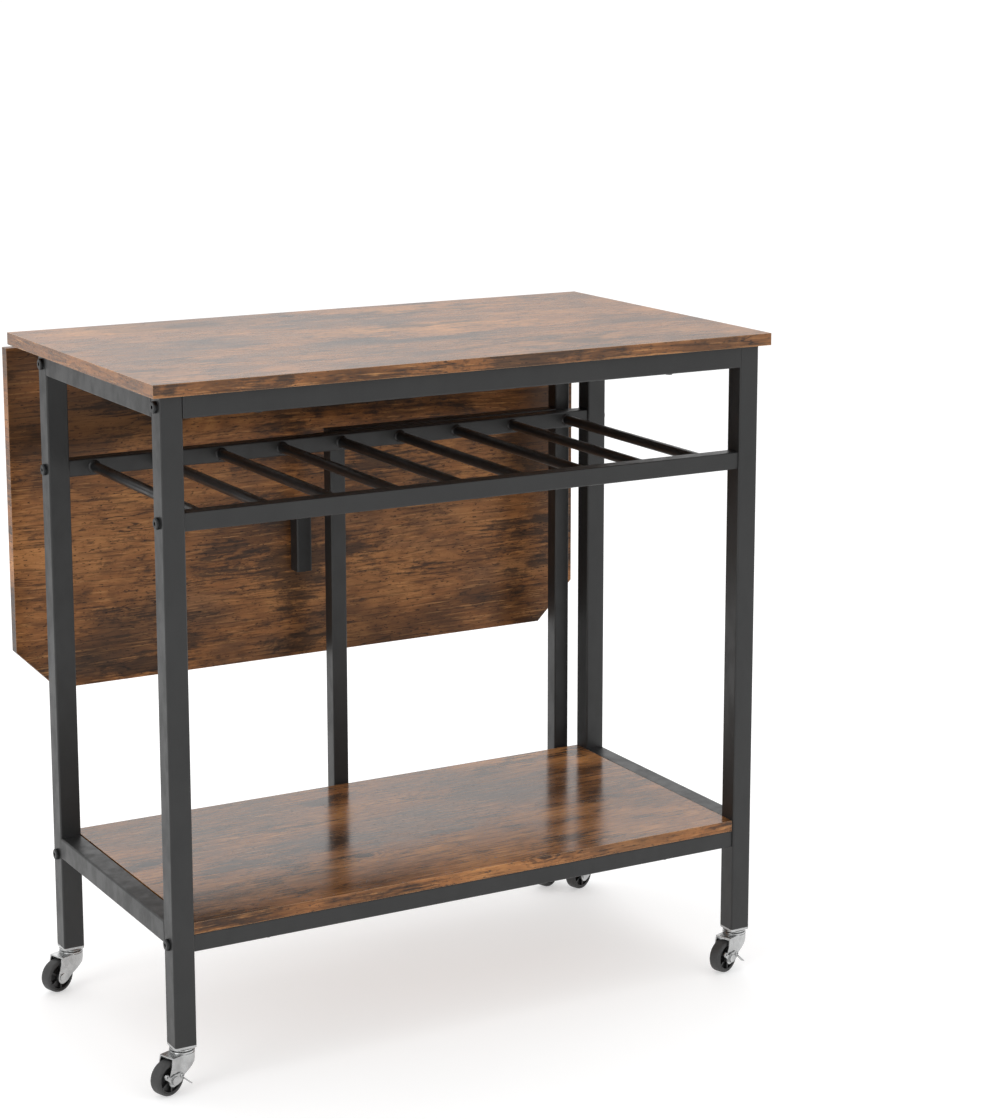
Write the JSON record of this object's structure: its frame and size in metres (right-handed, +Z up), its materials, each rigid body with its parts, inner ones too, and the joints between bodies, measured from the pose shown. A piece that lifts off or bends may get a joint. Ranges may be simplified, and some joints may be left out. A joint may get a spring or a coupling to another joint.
{
  "type": "drop-leaf rolling cart",
  "caption": "Wheeled kitchen cart with a slatted rack, a low shelf and a drop leaf that folds up on a swinging gate leg",
  "frame": {"origin": "on the floor, under the middle of the whole cart with its casters at rest", "axes": "+X to the right along the long side, +Y from the front to the drop leaf at the back, +Z up"},
  "size_m": [0.7788, 0.4654, 0.77],
  "materials": {
    "frame_paint": "satin powder coat, dark grey",
    "rustic_board": "rustic brown laminate with dark grain and blotches, satin",
    "zinc": "bright zinc plated",
    "black_plastic": "moulded black plastic",
    "black_steel": "black oxide bolts and hinges"
  },
  "bodies": {
    "frame": {"board_screws": "black_steel", "caster_back_left_stem": "zinc", "caster_back_right_stem": "zinc", "caster_front_left_stem": "zinc", "caster_front_right_stem": "zinc", "end_rail_shelf_left": "frame_paint", "end_rail_shelf_right": "frame_paint", "end_rail_top_left": "frame_paint", "end_rail_top_right": "frame_paint", "frame_bolts": "black_steel", "gate_hinge_frame_plates": "black_steel", "gate_hinge_pins": "black_steel", "leaf_hinge_pins": "black_steel", "leaf_hinge_table_plates": "black_steel", "leaf_hinge_table_screws": "black_steel", "leg_back_left": "frame_paint", "leg_back_right": "frame_paint", "leg_front_left": "frame_paint", "leg_front_right": "frame_paint", "leg_inserts": "black_plastic", "rack_bars": "frame_paint", "rack_rail_back": "frame_paint", "rack_rail_front": "frame_paint", "rail_end_nuts": "zinc", "shelf_board": "rustic_board", "shelf_rail_back": "frame_paint", "shelf_rail_front": "frame_paint", "tabletop": "rustic_board", "top_rail_back": "frame_paint", "top_rail_front": "frame_paint"},
    "leaf": {"leaf_panel": "rustic_board", "leaf_rest_block": "black_plastic", "leaf_hinge_leaf_plates": "black_steel", "leaf_hinge_leaf_screws": "black_steel"},
    "gate": {"gate_hinge_post": "frame_paint", "gate_free_post": "frame_paint", "gate_rail_upper": "frame_paint", "gate_rail_lower": "frame_paint", "gate_hinge_gate_plates": "black_steel", "gate_post_caps": "black_plastic", "gate_foot_insert": "black_plastic", "caster_gate_stem": "zinc"},
    "fork_front_left": {"caster_front_left_fork": "zinc", "caster_front_left_axle": "zinc"},
    "wheel_front_left": {"caster_front_left_wheel": "black_plastic"},
    "fork_front_right": {"caster_front_right_fork": "zinc", "caster_front_right_axle": "zinc"},
    "wheel_front_right": {"caster_front_right_wheel": "black_plastic"},
    "fork_back_left": {"caster_back_left_fork": "zinc", "caster_back_left_axle": "zinc"},
    "wheel_back_left": {"caster_back_left_wheel": "black_plastic"},
    "fork_back_right": {"caster_back_right_fork": "zinc", "caster_back_right_axle": "zinc"},
    "wheel_back_right": {"caster_back_right_wheel": "black_plastic"},
    "fork_gate": {"caster_gate_fork": "zinc", "caster_gate_axle": "zinc"},
    "wheel_gate": {"caster_gate_wheel": "black_plastic"},
    "brake_front_left": {"brake_lever_front_left": "zinc"},
    "brake_front_right": {"brake_lever_front_right": "zinc"}
  },
  "joints": [
    {"name": "leaf_lift", "type": "hinge", "parent": "frame", "child": "leaf", "pos_m": [0.00837, 0.21368, 0.751], "axis": [1, 0, 0], "range_deg": [0, 90]},
    {"name": "gate_swing", "type": "hinge", "parent": "frame", "child": "gate", "pos_m": [0.00437, 0.14343, 0.4], "axis": [0, 0, 1], "range_deg": [0, 90]},
    {"name": "swivel_front_left", "type": "hinge", "parent": "frame", "child": "fork_front_left", "pos_m": [-0.34913, -0.20532, 0.048], "axis": [0, 0, 1], "continuous": true},
    {"name": "swivel_front_right", "type": "hinge", "parent": "frame", "child": "fork_front_right", "pos_m": [0.36587, -0.20532, 0.048], "axis": [0, 0, 1], "continuous": true},
    {"name": "swivel_back_left", "type": "hinge", "parent": "frame", "child": "fork_back_left", "pos_m": [-0.34913, 0.12968, 0.048], "axis": [0, 0, 1], "continuous": true},
    {"name": "swivel_back_right", "type": "hinge", "parent": "frame", "child": "fork_back_right", "pos_m": [0.36587, 0.12968, 0.048], "axis": [0, 0, 1], "continuous": true},
    {"name": "swivel_gate", "type": "hinge", "parent": "gate", "child": "fork_gate", "pos_m": [0.33337, 0.15718, 0.048], "axis": [0, 0, 1], "continuous": true},
    {"name": "roll_front_left", "type": "hinge", "parent": "fork_front_left", "child": "wheel_front_left", "pos_m": [-0.3698, -0.21284, 0.019], "axis": [-0.342, 0.9397, 0], "continuous": true},
    {"name": "roll_front_right", "type": "hinge", "parent": "fork_front_right", "child": "wheel_front_right", "pos_m": [0.3452, -0.21284, 0.019], "axis": [-0.342, 0.9397, 0], "continuous": true},
    {"name": "roll_back_left", "type": "hinge", "parent": "fork_back_left", "child": "wheel_back_left", "pos_m": [-0.3698, 0.12216, 0.019], "axis": [-0.342, 0.9397, 0], "continuous": true},
    {"name": "roll_back_right", "type": "hinge", "parent": "fork_back_right", "child": "wheel_back_right", "pos_m": [0.3452, 0.12216, 0.019], "axis": [-0.342, 0.9397, 0], "continuous": true},
    {"name": "roll_gate", "type": "hinge", "parent": "fork_gate", "child": "wheel_gate", "pos_m": [0.3127, 0.14966, 0.019], "axis": [-0.342, 0.9397, 0], "continuous": true},
    {"name": "brake_front_left", "type": "hinge", "parent": "fork_front_left", "child": "brake_front_left", "pos_m": [-0.3698, -0.21284, 0.019], "axis": [-0.342, 0.9397, 0], "range_deg": [0, 18]},
    {"name": "brake_front_right", "type": "hinge", "parent": "fork_front_right", "child": "brake_front_right", "pos_m": [0.3452, -0.21284, 0.019], "axis": [-0.342, 0.9397, 0], "range_deg": [0, 18]}
  ],
  "couplings": [
    {"joint": "gate_swing", "follows": "leaf_lift", "ratio": 0.22222},
    {"joint": "swivel_gate", "follows": "swivel_back_right", "ratio": 1}
  ]
}
